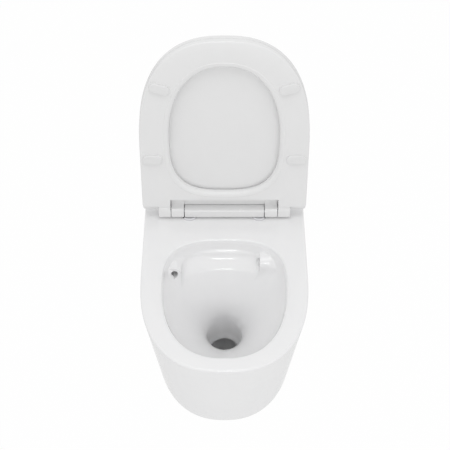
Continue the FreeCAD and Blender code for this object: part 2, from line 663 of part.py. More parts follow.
def lid_shape():
    """The lid with its two lugs, closed, in the frame of the hinge axis."""
    low, thick = lid_low(), size("LidThickness")
    lid = prism(front_outline(size("SeatHalfWidth") + size("LidOverhang"), size("SeatShoulder"),
                              size("SeatReach") - size("LidSetback"), size("LidRear"), size("SeatPower"), low,
                              size("SeatCorner")), thick)
    lid = lid.makeFillet(size("LidEdge"), edges_at(lid, low + thick))
    lid = lid.makeFillet(size("LidEdge") / 2, edges_at(lid, low))
    recess = turning_radius() + size("BodyGap")
    inner, outer = lug_inner(), lug_inner() + size("LidLugWidth")
    seat_end = seat_lug_inner() + size("SeatLugWidth") + size("LugGap")
    lid = lid.cut(axis_rod(recess, -inner, inner))
    fillet = size("LidLugFillet")
    front = -size("BarDepth") / 2
    for side in (-1, 1):
        lid = lid.cut(axis_rod(recess, side * outer, side * seat_end))
        x_low, x_high = sorted((side * inner, side * outer))
        gusset = box(x_low, x_high, front - fillet, front + 1, low - fillet, low + 1)
        gusset = gusset.cut(rod(fillet, Vector(x_low - 1, front - fillet, low - fillet),
                                Vector(x_high + 1, front - fillet, low - fillet)))
        lid = lid.fuse(gusset).fuse(hinge_block(side * inner, side * outer))
    bores = ((-1, size("BushDiameter") / 2), (1, size("DriveDiameter") / 2))
    for side, radius in bores:
        lid = lid.cut(axis_rod(radius, side * (inner - 1), side * (outer + 1)))
    return lid.Solids[0]


def pill(length, width, height, edge):
    """A rounded pad, long across, standing on z = 0 downwards, with its lower edge rounded."""
    end = (length - width) / 2
    half = width / 2
    wire = Part.Wire([
        Part.LineSegment(Vector(-end, -half, 0), Vector(end, -half, 0)).toShape(),
        Part.Arc(Vector(end, -half, 0), Vector(end + half, 0, 0), Vector(end, half, 0)).toShape(),
        Part.LineSegment(Vector(end, half, 0), Vector(-end, half, 0)).toShape(),
        Part.Arc(Vector(-end, half, 0), Vector(-end - half, 0, 0), Vector(-end, -half, 0)).toShape()])
    pad = prism(wire, -height)
    return pad.makeFillet(edge, edges_at(pad, -height))


def buffer_frame(side, reach, inset, turn):
    """The place of a buffer on the raised seat's underside, its middle at an inset from the seat's side."""
    spin = Rotation(Vector(0, 0, 1), -side * turn)
    across = side * (size("SeatHalfWidth") - inset)
    return raised_frame * Placement(Vector(across, -reach, seat_low()), spin)


# ---------------------------------------------------------------- the pieces

CASTING = pan_shape()
BLOCKS = casting_blocks()
FRONT = CASTING
for block in BLOCKS.values():
    FRONT = FRONT.cut(block)
shaped("pan", single(FRONT), deck_frame)
for name, block in BLOCKS.items():
    shaped(f"pan_back_{name}", single(CASTING.common(block)), deck_frame)
shaped("seat_ring", seat_shape(), raised_frame)
shaped("lid_shell", lid_shape(), raised_frame)

buffer_height = size("SeatGap") - size("BodyGap")
for name, side in SIDES:
    pad = pill(size("BufferLength"), size("BufferWidth"), buffer_height, 2)
    shaped(f"seat_buffer_rear_{name}", pad, buffer_frame(side, size("BufferReach"), size("BufferInset"), 0))
    shaped(f"seat_buffer_front_{name}", pad.copy(),
           buffer_frame(side, size("FrontBufferReach"), size("FrontBufferInset"), size("FrontBufferTurn")))

LID_LOW = "(Sizes.SeatGap - Sizes.AxisAboveDeck + Sizes.SeatThickness + Sizes.LidGap)"
LUG_INNER = "(Sizes.BarHalfLength + Sizes.LugGap)"
LUG_OUTER = "(Sizes.BarHalfLength + Sizes.LugGap + Sizes.LidLugWidth)"
PIN_OUTER = f"({LUG_OUTER} + Sizes.LugGap + Sizes.SeatLugWidth - Sizes.LugEnd)"
PIN_RADIUS = "Sizes.PinDiameter / 2"
PIN_BORE = "(Sizes.PinDiameter / 2 + Sizes.RunningClearance)"
DRIVE_BORE = "(Sizes.DriveDiameter / 2 + Sizes.RunningClearance)"
BAR_LOW = "-Sizes.BarHeight / 2"

for name, side in SIDES:
    buffer = turned(f"lid_buffer_{name}", [
        ("0", f"{LID_LOW} - Sizes.LidGap + Sizes.BodyGap"),
        ("Sizes.LidBufferDiameter / 2", f"{LID_LOW} - Sizes.LidGap + Sizes.BodyGap"),
        ("Sizes.LidBufferDiameter / 2", LID_LOW), ("0", LID_LOW)], RAISED)
    buffer.setExpression("Placement", "placement(vector(0; -Sizes.HingeFromWall; " + AXIS_Z + "); "
                         "rotation(vector(1; 0; 0); -Sizes.OpenAngle)) * "
                         + place(f"{side} * (Sizes.SeatHalfWidth - Sizes.LidBufferInset)",
                                 "-Sizes.LidBufferReach"))
    turned(f"seat_hinge_pin_{name}", [
        (f"{side} * Sizes.PinInner", "0"), (f"{side} * {PIN_OUTER}", "0"),
        (f"{side} * {PIN_OUTER}", PIN_RADIUS), (f"{side} * Sizes.PinInner", PIN_RADIUS)],
        RAISED, axis="H_Axis")


def axis_tube(label, inner, outer, bore, radius, placement):
    """A tube on the hinge axis."""
    return turned(label, [(inner, bore), (outer, bore), (outer, radius), (inner, radius)], placement,
                  axis="H_Axis")


axis_tube("lid_hinge_bush", f"-{LUG_INNER}", f"-{LUG_OUTER}", PIN_BORE, "Sizes.BushDiameter / 2", RAISED)
axis_tube("lid_drive_sleeve", "Sizes.PinInner", LUG_OUTER, PIN_BORE, "Sizes.DriveDiameter / 2", RAISED)


def damper(label, side, bore):
    """A soft-close damper with a blind bore for its shaft."""
    inner, outer = f"{side} * Sizes.DamperInner", f"{side} * Sizes.DamperOuter"
    floor = f"{side} * (Sizes.PinInner - Sizes.BodyGap)"
    radius = "Sizes.DamperDiameter / 2"
    return turned(label, [(inner, "0"), (floor, "0"), (floor, bore), (outer, bore), (outer, radius),
                          (inner, radius)], AT_HINGE, axis="H_Axis")


damper("seat_damper", -1, PIN_BORE)
damper("lid_damper", 1, DRIVE_BORE)

# the bar: a housing for the dampers, open below, over the two posts
bar = padded("hinge_bar", box_points("-Sizes.BarDepth / 2", "Sizes.BarDepth / 2", BAR_LOW,
                                     "Sizes.BarHeight / 2"), "2 * Sizes.BarHalfLength", AT_HINGE)
prism_of_bar = bar.Tip
long_edges = [f"Edge{number}" for number, edge in enumerate(prism_of_bar.Shape.Edges, 1)
              if edge.BoundBox.YLength < 1e-4 and edge.BoundBox.ZLength < 1e-4]
rounding = bar.newObject("PartDesign::Fillet", "LongEdges")
rounding.Base = (prism_of_bar, long_edges)
rounding.setExpression("Radius", "Sizes.BarEdge")
doc.recompute()

CHAMBER = "(Sizes.DamperDiameter / 2 + Sizes.FitClearance / 2)"
LATCH_Z = "(Sizes.LatchLow - Sizes.AxisAboveDeck)"
LATCH_SPAN = "(Sizes.LatchThickness + Sizes.BodyGap)"
POCKET_HALF = "(Sizes.ButtonWidth / 2 + Sizes.FitClearance)"
LATCH_HOLE = "(Sizes.PostDiameter / 2 + Sizes.BodyGap)"
LATCH_FRONT = f"({LATCH_HOLE} + Sizes.LatchBridge)"
LATCH_REAR = "(Sizes.PostDiameter / 2 + Sizes.BodyGap + Sizes.ButtonTravel)"
SOCKET_TOP = "(Sizes.PostHeight + Sizes.BodyGap - Sizes.AxisAboveDeck)"
for side, bore in ((-1, PIN_BORE), (1, DRIVE_BORE)):
    post_x = f"{side} * Sizes.PostSpacing / 2"
    bore_end = "-Sizes.DamperOuter" if side < 0 else "Sizes.BarHalfLength"
    cut_box(bar, box_points(f"{side} * Sizes.DamperInner", f"{side} * Sizes.DamperOuter",
                            f"-{CHAMBER}", CHAMBER), f"{CHAMBER} + Sizes.BarHeight / 2", CHAMBER)
    cut_round(bar, "YZ_Plane", f"2 * {bore}", "Sizes.BarHalfLength - Sizes.DamperOuter", offset=bore_end)
    cut_round(bar, "XY_Plane", "Sizes.PostDiameter + 2 * Sizes.BodyGap",
              f"Sizes.BarHeight / 2 + {SOCKET_TOP}", x=post_x, offset=SOCKET_TOP)
    cut_box(bar, box_points(f"{post_x} - {POCKET_HALF}", f"{post_x} + {POCKET_HALF}",
                            f"-{LATCH_FRONT} - Sizes.ButtonTravel - Sizes.FitClearance",
                            "Sizes.BarDepth / 2"),
            LATCH_SPAN, f"{LATCH_Z} + Sizes.LatchThickness + Sizes.BodyGap / 2")
    cut_box(bar, box_points(f"{post_x} - {POCKET_HALF}", f"{post_x} + {POCKET_HALF}",
                            "Sizes.PostDiameter / 2", "Sizes.BarDepth / 2"),
            "Sizes.ButtonHeight + 2 * Sizes.FitClearance",
            f"{LATCH_Z} + Sizes.ButtonHeight + Sizes.FitClearance")
COVER_TOP = f"({BAR_LOW} + Sizes.CoverThickness)"
COVER_FIT = "Sizes.FitClearance / 2"
cut_box(bar, box_points(f"-Sizes.CoverHalfLength - {COVER_FIT}", f"Sizes.CoverHalfLength + {COVER_FIT}",
                        f"-Sizes.CoverHalfWidth - {COVER_FIT}", f"Sizes.CoverHalfWidth + {COVER_FIT}"),
        "Sizes.CoverThickness", COVER_TOP)
cut_round(bar, "XY_Plane", "Sizes.CoverScrewDiameter", "Sizes.CoverScrewLength - Sizes.CoverThickness",
          offset=f"{BAR_LOW} + Sizes.CoverScrewLength")

cover = padded("hinge_bar_cover", box_points("-Sizes.CoverHalfLength", "Sizes.CoverHalfLength", BAR_LOW,
                                             COVER_TOP),
               "2 * Sizes.CoverHalfWidth", AT_HINGE, role="XZ_Plane")
cut_round(cover, "XY_Plane", "2 * Sizes.CoverScrewDiameter", "Sizes.CoverThickness", offset=COVER_TOP)
SHANK, HEAD = "Sizes.CoverScrewDiameter / 2", "(Sizes.CoverScrewDiameter - Sizes.RunningClearance)"
turned("hinge_cover_screw", [
    ("0", BAR_LOW), (HEAD, BAR_LOW), (HEAD, COVER_TOP), (SHANK, COVER_TOP),
    (SHANK, f"{BAR_LOW} + Sizes.CoverScrewLength"), ("0", f"{BAR_LOW} + Sizes.CoverScrewLength")], AT_HINGE)

PAD_INNER = f"({LATCH_REAR} + Sizes.RunningClearance)"
LATCH_TOP = f"({LATCH_Z} + Sizes.LatchThickness)"
PAD_REAR = "Sizes.BarDepth / 2 + Sizes.ButtonProud"
PAD_TOP = f"{LATCH_Z} + Sizes.ButtonHeight"
STUD = "Sizes.StudDiameter / 2"
STUD_HOLE = "(Sizes.StudDiameter / 2 + Sizes.FitClearance)"
POST = "Sizes.PostDiameter / 2"
NECK = "Sizes.PostNeck / 2"
GROOVE_LOW = "(Sizes.LatchLow - Sizes.FitClearance)"
GROOVE_TOP = "(Sizes.LatchLow + Sizes.LatchThickness + Sizes.FitClearance)"
DISC_RIM = "Sizes.DiscDiameter / 2"
PLUG = "(Sizes.DeckHole / 2 - Sizes.FitClearance)"
CONE_FOOT = "(-Sizes.PlugLength - Sizes.ConeHeight)"
for name, side in SIDES:
    button = padded(f"release_button_{name}", [
        (f"-{LATCH_FRONT}", LATCH_Z), (PAD_REAR, LATCH_Z), (PAD_REAR, PAD_TOP), (PAD_INNER, PAD_TOP),
        (PAD_INNER, LATCH_TOP), (f"-{LATCH_FRONT}", LATCH_TOP)], "Sizes.ButtonWidth", at_post(side, AXIS_Z))
    cut_box(button, box_points(f"-{LATCH_HOLE}", LATCH_HOLE, f"-{LATCH_HOLE}", LATCH_REAR),
            "Sizes.LatchThickness", LATCH_TOP)
    turned(f"hinge_post_{name}", [
        ("0", "-Sizes.StudLength"), (STUD, "-Sizes.StudLength"), (STUD, "Sizes.DiscHeight"),
        (POST, "Sizes.DiscHeight"), (POST, GROOVE_LOW), (NECK, GROOVE_LOW), (NECK, GROOVE_TOP),
        (POST, GROOVE_TOP), (POST, "Sizes.PostHeight - Sizes.PostChamfer"),
        (f"{POST} - Sizes.PostChamfer", "Sizes.PostHeight"), ("0", "Sizes.PostHeight")], at_post(side))
    disc = turned(f"hinge_disc_{name}", [
        (STUD_HOLE, "0"), (DISC_RIM, "0"), (DISC_RIM, "Sizes.DiscHeight - Sizes.DiscChamfer"),
        (f"{DISC_RIM} - Sizes.DiscChamfer", "Sizes.DiscHeight"), (STUD_HOLE, "Sizes.DiscHeight")],
        at_post(side))
    lug_x = f"{side} * ({LUG_INNER} - Sizes.BodyGap - Sizes.PostSpacing / 2)"
    cut_box(disc, box_points(lug_x, f"{side} * Sizes.DiscDiameter", f"-{DISC_RIM}", DISC_RIM),
            "Sizes.DiscHeight - Sizes.DiscShelf", "Sizes.DiscHeight")
    turned(f"expansion_plug_{name}", [
        (STUD_HOLE, "-Sizes.PlugLength"), (PLUG, "-Sizes.PlugLength"), (PLUG, "0"), (STUD_HOLE, "0")],
        at_post(side))
    turned(f"expansion_cone_{name}", [
        (STUD, CONE_FOOT), (PLUG, CONE_FOOT), (PLUG, f"{CONE_FOOT} + Sizes.ConeHeight / 2"),
        (f"{PLUG} - Sizes.ConeTaper", "-Sizes.PlugLength"), (STUD, "-Sizes.PlugLength")], at_post(side))


# ---------------------------------------------------------------- wall side

def wall_tube(label, start, end, bore, radius, placement, corners=()):
    """A tube square to the wall, from start to end in front of it, or with other corners on its outside."""
    outside = corners or [(radius, f"-({end})")]
    profile = [(bore, f"-({start})"), (bore, f"-({end})"), *outside, (radius, f"-({start})")]
    return turned(label, profile, placement, role="XY_Plane")


M12 = "Sizes.BoltClearance / 2"
SLEEVE = "Sizes.SleeveDiameter / 2"
SLEEVE_END = "Sizes.SleeveLength"
GROOVE = f"({SLEEVE} - Sizes.SleeveGroove)"
FLANGE = "Sizes.BushFlange / 2"
BUSH_END = "(Sizes.BossLength + Sizes.BushFlangeThickness)"
CLAMP = "Sizes.ClampDiameter / 2"
SKIRT_TILT = "atan((Sizes.PanHalfWidth - Sizes.BaseHalfWidth) / Sizes.PanHeight)"
SKIRT_X = ("(Sizes.PanHalfWidth - (Sizes.PanHalfWidth - Sizes.BaseHalfWidth)"
           " * Sizes.DeckAboveBolts / Sizes.PanHeight)")
CAP_HEAD = "Sizes.CapHead / 2"
CAP = "Sizes.CapDiameter / 2"
for name, side in SIDES:
    wall_tube(f"fixing_sleeve_{name}", "0", SLEEVE_END, M12, SLEEVE, at_bolt(side), [
        (SLEEVE, f"-{SLEEVE_END}"), (SLEEVE, f"-Sizes.ClampFromWall - {CLAMP}"),
        (GROOVE, "-Sizes.ClampFromWall"), (SLEEVE, f"-Sizes.ClampFromWall + {CLAMP}")])
    wall_tube(f"fixing_bush_{name}", "Sizes.BossLength - Sizes.BushLength", BUSH_END, M12, SLEEVE,
              at_bolt(side), [(FLANGE, f"-{BUSH_END}"), (FLANGE, "-Sizes.BossLength"),
                              (SLEEVE, "-Sizes.BossLength")])
    screw_end = f"{side} * ({GROOVE} + Sizes.ClampLength)"
    turned(f"fixing_screw_{name}", [
        (f"{side} * {GROOVE}", "0"), (screw_end, "0"), (screw_end, CLAMP),
        (f"{side} * ({GROOVE} + Sizes.SleeveGroove * 2)", CLAMP), (f"{side} * {GROOVE}", f"{CLAMP} / 4")],
        at_bolt(side, "-Sizes.ClampFromWall"), axis="H_Axis")
    head_end = f"{side} * Sizes.CapHeadThickness"
    plug_end = f"-{side} * Sizes.CapDepth"
    turned(f"side_cap_{name}", [
        (plug_end, "0"), (head_end, "0"), (head_end, f"{CAP_HEAD} - Sizes.CapChamfer"),
        (f"{side} * (Sizes.CapHeadThickness - Sizes.CapChamfer)", CAP_HEAD), ("0", CAP_HEAD),
        ("0", CAP), (plug_end, CAP)],
        place(f"{side} * {SKIRT_X}", "-Sizes.ClampFromWall", turn=f"{side} * {SKIRT_TILT}", axis="0; 1; 0"),
        axis="H_Axis")

wall_tube("inlet_seal", "0", "Sizes.SealLength", "Sizes.SealBore / 2", "Sizes.InletBore / 2",
          place(z="Sizes.InletRise"))

# ---------------------------------------------------------------- check and write

doc.recompute()
pieces = [item for item in doc.Objects if item.TypeId in ("PartDesign::Body", "Part::Feature")]
for item in doc.Objects:
    if "Invalid" in item.State or "Error" in item.State:
        raise RuntimeError(f"{item.Label} failed: {item.State}")
os.makedirs("parts", exist_ok=True)
for piece in pieces:
    shape = piece.Shape
    if shape.isNull() or not shape.isValid() or len(shape.Solids) != 1:
        raise RuntimeError(f"{piece.Label} has no valid single solid")
    shape.exportStep(f"parts/{piece.Label}.step")
    print(f"{piece.Label}: {shape.Volume / 1000:.2f} cm3")
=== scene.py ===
"""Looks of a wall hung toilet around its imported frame.

The frame is in metres with +Z up and the front towards -Y. The surfaces below are worked out in millimetres:
"reach" runs forward from the hinge axis, "depth" runs down from the deck, "across" is X.
"""
import json
import math

import bpy
import numpy as np
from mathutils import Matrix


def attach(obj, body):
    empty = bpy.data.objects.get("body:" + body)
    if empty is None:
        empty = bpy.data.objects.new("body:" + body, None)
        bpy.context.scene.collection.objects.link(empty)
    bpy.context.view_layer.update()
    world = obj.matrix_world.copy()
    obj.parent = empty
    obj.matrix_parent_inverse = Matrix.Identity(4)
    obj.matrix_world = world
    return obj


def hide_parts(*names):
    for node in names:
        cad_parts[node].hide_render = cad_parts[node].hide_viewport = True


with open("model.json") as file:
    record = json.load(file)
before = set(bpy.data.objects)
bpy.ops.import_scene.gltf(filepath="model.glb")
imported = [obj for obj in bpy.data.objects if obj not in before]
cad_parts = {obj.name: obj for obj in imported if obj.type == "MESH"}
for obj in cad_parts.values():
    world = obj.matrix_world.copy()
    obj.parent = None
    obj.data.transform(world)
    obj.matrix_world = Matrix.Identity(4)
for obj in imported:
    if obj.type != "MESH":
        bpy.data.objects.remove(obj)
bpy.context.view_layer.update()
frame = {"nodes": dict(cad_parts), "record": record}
nodes = frame["nodes"]

MM = 0.001
AXIS_Y, AXIS_Z = -78.0, 101.0      # hinge axis
DECK_Z = 85.0                      # deck level
OPEN_ANGLE = math.radians(96.0)    # seat from closed to raised


# ------------------------------------------------------------------ meshes

def new_piece(name, vertices, faces, material, body, smooth_angle):
    """A mesh object in metres from millimetre vertices, smooth except across edges sharper than the angle."""
    mesh = bpy.data.meshes.new(name)
    mesh.from_pydata((np.asarray(vertices) * MM).tolist(), [], [tuple(face) for face in faces])
    mesh.update()
    mesh.polygons.foreach_set("use_smooth", [True] * len(mesh.polygons))
    mesh.set_sharp_from_angle(angle=math.radians(smooth_angle))
    mesh.materials.append(material)
    piece = bpy.data.objects.new(name, mesh)
    bpy.context.scene.collection.objects.link(piece)
    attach(piece, body)
    return piece


def closed_rows(rows, first_pole, last_pole):
    """A closed skin through rows of equal length (row, column, 3), each row a closed loop.

    The poles close the ends as fans.
    """
    rows = np.asarray(rows, float)
    count, width, _ = rows.shape
    around = np.arange(width)
    here = np.arange(count - 1)[:, None] * width + around
    after = np.arange(count - 1)[:, None] * width + np.roll(around, -1)
    faces = np.stack([here, after, after + width, here + width], -1).reshape(-1, 4).tolist()
    first_ring, last_ring = around, (count - 1) * width + around
    first_tip, last_tip = np.full(width, count * width), np.full(width, count * width + 1)
    faces += np.stack([np.roll(first_ring, -1), first_ring, first_tip], -1).tolist()
    faces += np.stack([last_ring, np.roll(last_ring, -1), last_tip], -1).tolist()
    return np.vstack([rows.reshape(-1, 3), first_pole, last_pole]), faces


def outwards(vertices, faces):
    """The faces, turned round where the skin's signed volume is negative."""
    total = 0.0
    points = np.asarray(vertices)
    for size in (3, 4):
        block = np.array([face for face in faces if len(face) == size])
        if len(block) == 0:
            continue
        for second, third in ((1, 2), (2, 3))[:size - 2]:
            across = np.cross(points[block[:, second]], points[block[:, third]])
            total += np.einsum("ij,ij->", points[block[:, 0]], across)
    return faces if total > 0 else [list(reversed(face)) for face in faces]


# ------------------------------------------------------------------ curves

def oval_radius(direction, half_width, front, rear, front_power, rear_power):
    """Radius of an oval along directions from its widest place: (|cos / a|^p + |sin / b|^p)^(-1 / p)."""
    ahead = np.sin(direction) >= 0
    length = np.where(ahead, front, rear)
    power = np.where(ahead, front_power, rear_power)
    total = np.abs(np.cos(direction) / half_width) ** power + np.abs(np.sin(direction) / length) ** power
    return total ** (-1 / power)


def to_deck(points):
    """Across, reach and depth to the frame's X, Y and Z in millimetres."""
    points = np.asarray(points, float)
    return np.stack([points[..., 0], AXIS_Y - points[..., 1], DECK_Z - points[..., 2]], -1)


def to_raised(points):
    """Across, reach and height from the axis of a closed seat, turned up about the hinge axis."""
    points = np.asarray(points, float)
    cosine, sine = math.cos(OPEN_ANGLE), math.sin(OPEN_ANGLE)
    y = -points[..., 1] * cosine + points[..., 2] * sine
    z = points[..., 1] * sine + points[..., 2] * cosine
    return np.stack([points[..., 0], AXIS_Y + y, AXIS_Z + z], -1)


def smooth(value, low, high):
    """0 below low, 1 above high, and 3t^2 - 2t^3 between."""
    share = np.clip((np.asarray(value, float) - low) / (high - low), 0, 1)
    return share * share * (3 - 2 * share)


# ------------------------------------------------------------------ materials

BUMP_HEIGHT = 0.5                  # of every finish's grain


def linear(code):
    """An sRGB hex value as linear red, green, blue and alpha 1."""
    values = []
    for start in (1, 3, 5):
        share = int(code[start:start + 2], 16) / 255
        values.append(share / 12.92 if share <= 0.04045 else ((share + 0.055) / 1.055) ** 2.4)
    return (*values, 1.0)


def add(tree, kind, settings=None, **links):
    """A node with its settings, and its inputs fed by (node, output) pairs or plain values.

    An input is named with _ for a space, or as i and its number.
    """
    node = tree.nodes.new(kind)
    for key, value in (settings or {}).items():
        setattr(node, key, value)
    for key, value in links.items():
        numbered = key[0] == "i" and key[1:].isdigit()
        socket = node.inputs[int(key[1:]) if numbered else key.replace("_", " ")]
        if isinstance(value, tuple) and len(value) == 2 and isinstance(value[0], bpy.types.Node):
            tree.links.new(value[0].outputs[value[1]], socket)
        else:
            socket.default_value = value
    return node


def finish(name, light, dark, roughness, spread, patch_mm, grain_mm, bump, metallic=0.0):
    """A material with cloudy patches between two colours, uneven roughness and a fine bump, sizes in mm."""
    material = bpy.data.materials.new(name)
    material.use_nodes = True
    tree = material.node_tree
    tree.nodes.clear()
    place = add(tree, "ShaderNodeTexCoord")
    patches = add(tree, "ShaderNodeTexNoise", Vector=(place, "Object"), Scale=1 / (patch_mm * MM), Detail=3.0,
                  Roughness=0.55)
    grain = add(tree, "ShaderNodeTexNoise", Vector=(place, "Object"), Scale=1 / (grain_mm * MM), Detail=2.0,
                Roughness=0.5)
    colour = add(tree, "ShaderNodeMix", {"data_type": "RGBA"}, i0=(patches, "Fac"), i6=linear(dark),
                 i7=linear(light))
    rough = add(tree, "ShaderNodeMapRange", Value=(patches, "Fac"), From_Min=0.3, From_Max=0.7,
                To_Min=max(0.0, roughness - spread), To_Max=roughness + spread)
    relief = add(tree, "ShaderNodeBump", Height=(grain, "Fac"), Strength=bump, Distance=BUMP_HEIGHT * MM)
    shader = add(tree, "ShaderNodeBsdfPrincipled", Base_Color=(colour, 2), Roughness=(rough, "Result"),
                 Normal=(relief, "Normal"), Metallic=metallic)
    out = add(tree, "ShaderNodeOutputMaterial", Surface=(shader, "BSDF"))
    out.is_active_output = True
    return material


# vitreous china under a fired glaze: almost mirror smooth, with a faint orange peel
GLAZE = finish("white_glazed_china", "#F5F5F5", "#F2F2F3", 0.07, 0.02, 60, 9, 0.02)
# moulded urea plastic: white, satin to glossy, faint moulding waviness
SEAT_PLASTIC = finish("moulded_urea_plastic", "#EDEDED", "#EAEAEA", 0.2, 0.03, 45, 1.2, 0.02)
# moulded ABS of the hinge: a little more satin
HINGE_PLASTIC = finish("moulded_hinge_plastic", "#ECECEC", "#E8E8E8", 0.24, 0.04, 20, 0.8, 0.03)
# soft elastomer pads
BUFFER_RUBBER = finish("white_elastomer", "#E9E9E9", "#E5E5E5", 0.42, 0.05, 8, 0.6, 0.05)
# chromed zinc base discs
BRIGHT_CHROME = finish("chromed_zinc", "#E6E6E8", "#DADADC", 0.08, 0.03, 12, 1.0, 0.01, metallic=1.0)
# turned and zinc plated steel screws
PLATED_STEEL = finish("zinc_plated_steel", "#A9ABAE", "#8E9094", 0.32, 0.08, 6, 0.5, 0.08, metallic=1.0)
# grey acetal of the dampers
DAMPER_GREY = finish("grey_acetal", "#5C5E62", "#505256", 0.4, 0.05, 8, 0.7, 0.05)
# black EPDM rubber, dull with a coarse grain
BLACK_RUBBER = finish("black_epdm", "#2B2B2C", "#1F1F20", 0.62, 0.08, 10, 0.8, 0.1)
# turned brass, satin
TURNED_BRASS = finish("turned_brass", "#C9A45A", "#A8843F", 0.28, 0.07, 5, 0.4, 0.06, metallic=1.0)
# matt nylon of the wall fixings
NYLON = finish("white_nylon", "#E3E3E0", "#D8D8D4", 0.5, 0.06, 9, 0.7, 0.06)

BY_SLOT = {"china": GLAZE, "seat_plastic": SEAT_PLASTIC, "buffer_rubber": BUFFER_RUBBER,
           "hinge_plastic": HINGE_PLASTIC, "bright_metal": BRIGHT_CHROME, "steel": PLATED_STEEL,
           "damper_grey": DAMPER_GREY, "black_rubber": BLACK_RUBBER, "brass": TURNED_BRASS,
           "fixing_plastic": NYLON}
for row in frame["record"]["subparts"]:
    mesh = nodes[row["node"]].data
    mesh.materials.clear()
    mesh.materials.append(BY_SLOT[row["material_slot"]])
    mesh.polygons.foreach_set("use_smooth", [False] * len(mesh.polygons))


# ------------------------------------------------------------------ smooth copies of the CAD pieces

BODY_OF = {node: body for body, members in frame["record"]["behaviour"]["bodies"].items() for node in members}
SLOT_OF = {row["node"]: row["material_slot"] for row in frame["record"]["subparts"]}


MERGE_WITHIN = 0.002               # corners of one place in a CAD mesh
CAD_SMOOTH_ANGLE = 32.0


def smooth_copy(node):
    """A copy of a CAD node whose corners are merged, so that it shades smoothly, standing for the node."""
    source = nodes[node].data
    places = np.zeros(len(source.vertices) * 3)
    source.vertices.foreach_get("co", places)
    corners = np.zeros(len(source.loops), int)
    source.loops.foreach_get("vertex_index", corners)
    _, first, same = np.unique(np.round(places.reshape(-1, 3) / (MM * MERGE_WITHIN)), axis=0,
                               return_index=True, return_inverse=True)
    faces = same.reshape(-1)[corners].reshape(-1, 3)
    kept = (faces[:, 0] != faces[:, 1]) & (faces[:, 1] != faces[:, 2]) & (faces[:, 2] != faces[:, 0])
    piece = new_piece("look_" + node, places.reshape(-1, 3)[first] / MM, faces[kept].tolist(),
                      BY_SLOT[SLOT_OF[node]], BODY_OF[node], CAD_SMOOTH_ANGLE)
    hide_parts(node)
    return piece


def ring_skin(rows):
    """A closed skin through rows (row, column, 3), each row a closed loop, the last joined to the first."""
    rows = np.asarray(rows, float)
    count, width, _ = rows.shape
    row, column = np.meshgrid(np.arange(count), np.arange(width), indexing="ij")
    down, along = (row + 1) % count, (column + 1) % width
    here, below = row * width, down * width
    faces = np.stack([here + column, here + along, below + along, below + column], -1)
    return rows.reshape(-1, 3), faces.reshape(-1, 4).tolist()


# ------------------------------------------------------------------ the bowl's glazed skin

MOUTH_HALF, MOUTH_FRONT, MOUTH_REAR, MOUTH_WIDEST = 132.0, 400.5, 75.0, 197.0
MOUTH_FRONT_POWER, MOUTH_REAR_POWER = 2.4, 2.8
THROAT_REACH, THROAT_FOOT = 187.0, 240.0
THROAT_TOP, THROAT_FRONT_TOP, THROAT_REAR_TOP = 190.0, 206.0, 174.0
THROAT_MOUTH, THROAT_END, TRAP_LIP, TRAP_TAPER = 40.0, 37.0, 34.9, 14.0
BOWL_SMOOTH_ANGLE = 50.0

SHELF = 13.0                       # how far the rear wall stands forward under the duct
SHELF_RISES, SHELF_FALLS = (34, 66), (70, 172)

# flush ducts: one along the left side, one behind the bowl and a short one from the right
DUCT_DEPTH, DUCT_RADIUS, PORT_RADIUS = 38.0, 17.3, 9.4
DUCT_ACROSS = 111
LEFT_DUCT_FROM, LEFT_DUCT_TO, LEFT_PORT_FACE, LEFT_PORT_REACH = 30, 170, 141, 137
REAR_DUCT_LEFT, REAR_DUCT_RIGHT, REAR_DUCT_SWELL = 59, 62, 1
RIGHT_DUCT_FROM, RIGHT_DUCT_TO, RIGHT_DUCT_REACH, RIGHT_DUCT_SWELL = 60, 125, 104, 2
RIGHT_PORT_FACE, RIGHT_PORT_REACH = 77, 106
ELBOW_FROM, ELBOW_TO = 42, 106
DUCT_FALL = 0.62                   # draws the swelling out downwards
FILLET, FILLET_RIM = 15.0, 0.5     # between the wall and the ducts, and at the rim
FILLET_GROWS = (20, 34)


def bowl_field(across, reach, depth, inset, shelf):
    """About the distance outside the bowl's wall, negative in the free space.

    At share s of the throat's depth (190 at the sides, 206 in front, 174 behind) the half width, front and
    rear close in as (1 - s^1.6)^1.6, (1 - s^2)^2 and (1 - s^2)^1.8 from the mouth to the throat. The throat's
    last 14 mm draw in to the waterway below it. The field is (|x / a|^p + |r / b|^p)^(1 / p) - 1, times the
    smaller half axis. The shelf thickens the rear below the duct.
    """
    side_share, front_share, rear_share = (np.clip(depth / top, 0, 1)
                                           for top in (THROAT_TOP, THROAT_FRONT_TOP, THROAT_REAR_TOP))
    below = np.clip((depth - THROAT_REAR_TOP) / (THROAT_FOOT - THROAT_REAR_TOP), 0, 1)
    throat = THROAT_MOUTH + (THROAT_END - THROAT_MOUTH) * below
    throat = throat - (THROAT_END - TRAP_LIP) * smooth(depth, THROAT_FOOT - TRAP_TAPER, THROAT_FOOT)
    side = (1 - side_share ** 1.6) ** 1.6
    half = throat + (MOUTH_HALF - throat) * side - inset
    middle = THROAT_REACH + (MOUTH_WIDEST - THROAT_REACH) * side
    lip = THROAT_REACH + throat
    front = lip + (MOUTH_FRONT - lip) * (1 - front_share ** 2) ** 2 - inset
    back = THROAT_REACH - throat
    rear = back + (MOUTH_REAR - back) * (1 - rear_share ** 2) ** 1.8 + inset
    rear = rear + shelf * (smooth(depth, *SHELF_RISES) - smooth(depth, *SHELF_FALLS))
    ahead = reach >= middle
    length = np.where(ahead, front - middle, middle - rear)
    power = np.where(ahead, 2 + (MOUTH_FRONT_POWER - 2) * (1 - front_share),
                     2 + (MOUTH_REAR_POWER - 2) * (1 - rear_share))
    total = np.abs(across / half) ** power + np.abs((reach - middle) / length) ** power
    return (total ** (1 / power) - 1) * np.minimum(half, length)


